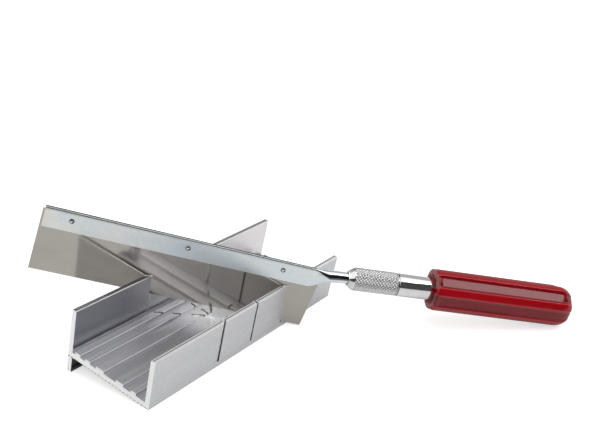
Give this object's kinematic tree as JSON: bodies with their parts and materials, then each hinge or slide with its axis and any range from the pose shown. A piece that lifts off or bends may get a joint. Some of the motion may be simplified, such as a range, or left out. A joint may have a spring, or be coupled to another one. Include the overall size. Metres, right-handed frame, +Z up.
{
  "type": "mitre box with saw",
  "caption": "Aluminium channel mitre box with a bench lip and narrow saw slots, and a short back saw with knurled chuck and fluted red plastic handle resting in a mitre slot.",
  "frame": {"origin": "on the table under the middle of the overall box of mitre box and saw together", "axes": "+Z up from the table, +X along the mitre box towards its far sawn end, +Y across it towards the wall with the bench lip; the handle points to +X and -Y"},
  "size_m": [0.2006, 0.199, 0.0711],
  "materials": {
    "extruded_aluminium": "satin extruded, sawn ends",
    "blade_steel": "bright rolled, faintly brushed",
    "zinc_plate": "bright zinc plate",
    "rivet_steel": "bright domed",
    "knurled_aluminium": "fine diamond knurl, polished nose",
    "polished_aluminium": "polished",
    "collet_steel": "turned",
    "red_plastic": "glossy, slightly translucent"
  },
  "bodies": {
    "mitre_box": {"mitre_box": "extruded_aluminium"},
    "saw": {"saw_blade": "blade_steel", "blade_spine": "zinc_plate", "rivet_tip": "rivet_steel", "rivet_middle": "rivet_steel", "rivet_heel": "rivet_steel"},
    "handle": {"handle_grip": "red_plastic", "ferrule": "polished_aluminium"},
    "collet": {"collet": "collet_steel"},
    "chuck_collar": {"chuck_collar": "knurled_aluminium"}
  },
  "joints": [
    {"name": "saw_stroke", "type": "slide", "parent": "mitre_box", "child": "saw", "axis": [0.7019, -0.7123, 0], "range_m": [0, 0.03]},
    {"name": "tang_withdraw", "type": "slide", "parent": "saw", "child": "handle", "axis": [0.6743, -0.7218, -0.1561], "range_m": [0, 0.0185]},
    {"name": "collet_advance", "type": "slide", "parent": "handle", "child": "collet", "axis": [-0.6743, 0.7218, 0.1561], "range_m": [0, 0.002]},
    {"name": "collar_turn", "type": "hinge", "parent": "collet", "child": "chuck_collar", "pos_m": [0.01432, -0.00805, 0.02825], "axis": [-0.6743, 0.7218, 0.1561], "range_deg": [0, 720]}
  ],
  "couplings": [
    {"joint": "collar_turn", "follows": "collet_advance", "rad_per_m": 6283.2}
  ]
}
